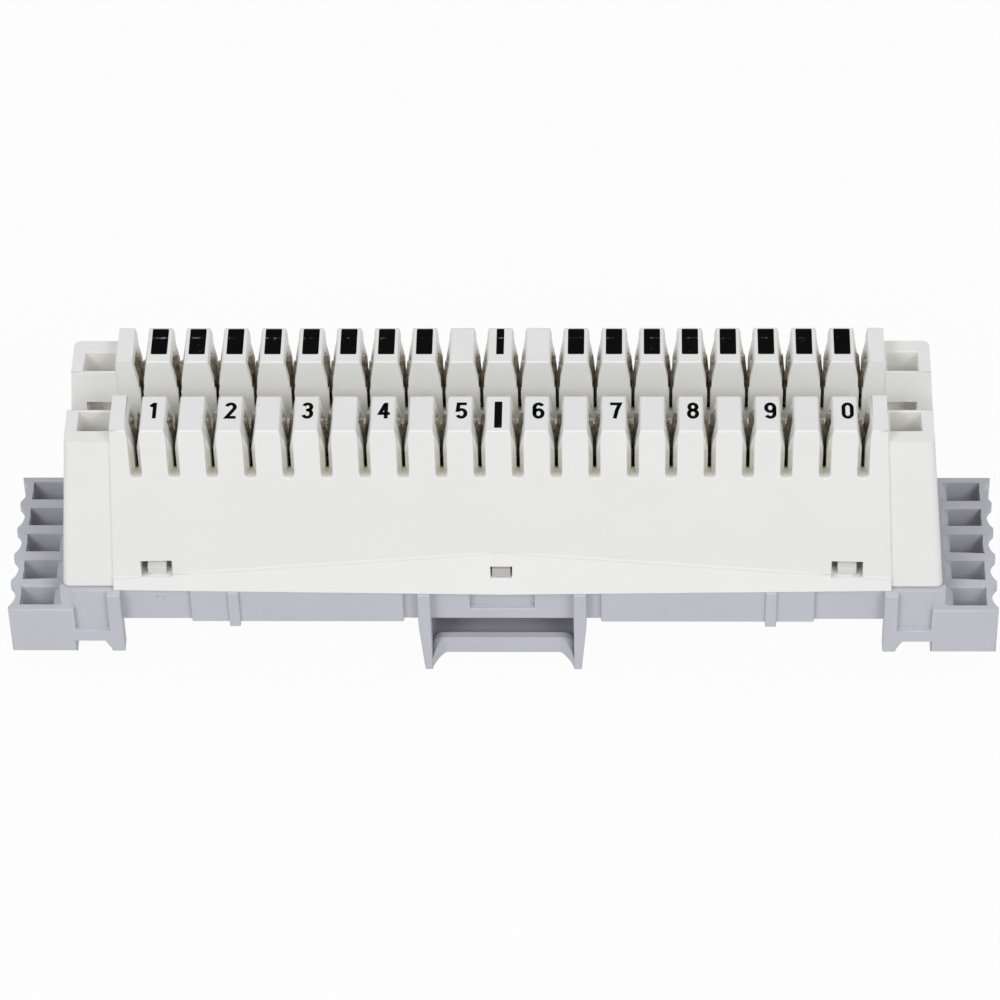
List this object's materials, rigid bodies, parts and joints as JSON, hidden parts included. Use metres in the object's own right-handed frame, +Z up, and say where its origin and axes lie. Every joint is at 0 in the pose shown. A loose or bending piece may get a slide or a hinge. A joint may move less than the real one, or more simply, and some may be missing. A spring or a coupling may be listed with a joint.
{
  "type": "punch down wiring block",
  "caption": "Long punch down wiring block: a white housing with two rows of slotted towers over forked contacts, on a grey base that clips to a mounting frame.",
  "frame": {"origin": "centre of the block's footprint, on the underside of the cable guide", "axes": "+X along the rows of slots, +Y from the numbered row to the marked row, +Z up out of the slots"},
  "size_m": [0.1234, 0.0232, 0.0402],
  "materials": {
    "housing_white": "satin moulded plastic with a faint spark texture",
    "carrier_white": "plain moulded plastic",
    "base_grey": "satin moulded plastic, bluish grey",
    "contact_bronze": "stamped spring bronze, slightly tarnished"
  },
  "bodies": {
    "root": {"terminal_housing": "housing_white", "contact_carrier": "carrier_white", "mounting_base": "base_grey", "contact_front_01": "contact_bronze", "contact_rear_01": "contact_bronze", "contact_front_02": "contact_bronze", "contact_rear_02": "contact_bronze", "contact_front_03": "contact_bronze", "contact_rear_03": "contact_bronze", "contact_front_04": "contact_bronze", "contact_rear_04": "contact_bronze", "contact_front_05": "contact_bronze", "contact_rear_05": "contact_bronze", "contact_front_06": "contact_bronze", "contact_rear_06": "contact_bronze", "contact_front_07": "contact_bronze", "contact_rear_07": "contact_bronze", "contact_front_08": "contact_bronze", "contact_rear_08": "contact_bronze", "contact_front_09": "contact_bronze", "contact_rear_09": "contact_bronze", "contact_front_10": "contact_bronze", "contact_rear_10": "contact_bronze", "contact_front_11": "contact_bronze", "contact_rear_11": "contact_bronze", "contact_front_12": "contact_bronze", "contact_rear_12": "contact_bronze", "contact_front_13": "contact_bronze", "contact_rear_13": "contact_bronze", "contact_front_14": "contact_bronze", "contact_rear_14": "contact_bronze", "contact_front_15": "contact_bronze", "contact_rear_15": "contact_bronze", "contact_front_16": "contact_bronze", "contact_rear_16": "contact_bronze", "contact_front_17": "contact_bronze", "contact_rear_17": "contact_bronze", "contact_front_18": "contact_bronze", "contact_rear_18": "contact_bronze", "contact_front_19": "contact_bronze", "contact_rear_19": "contact_bronze", "contact_front_20": "contact_bronze", "contact_rear_20": "contact_bronze"}
  },
  "joints": []
}
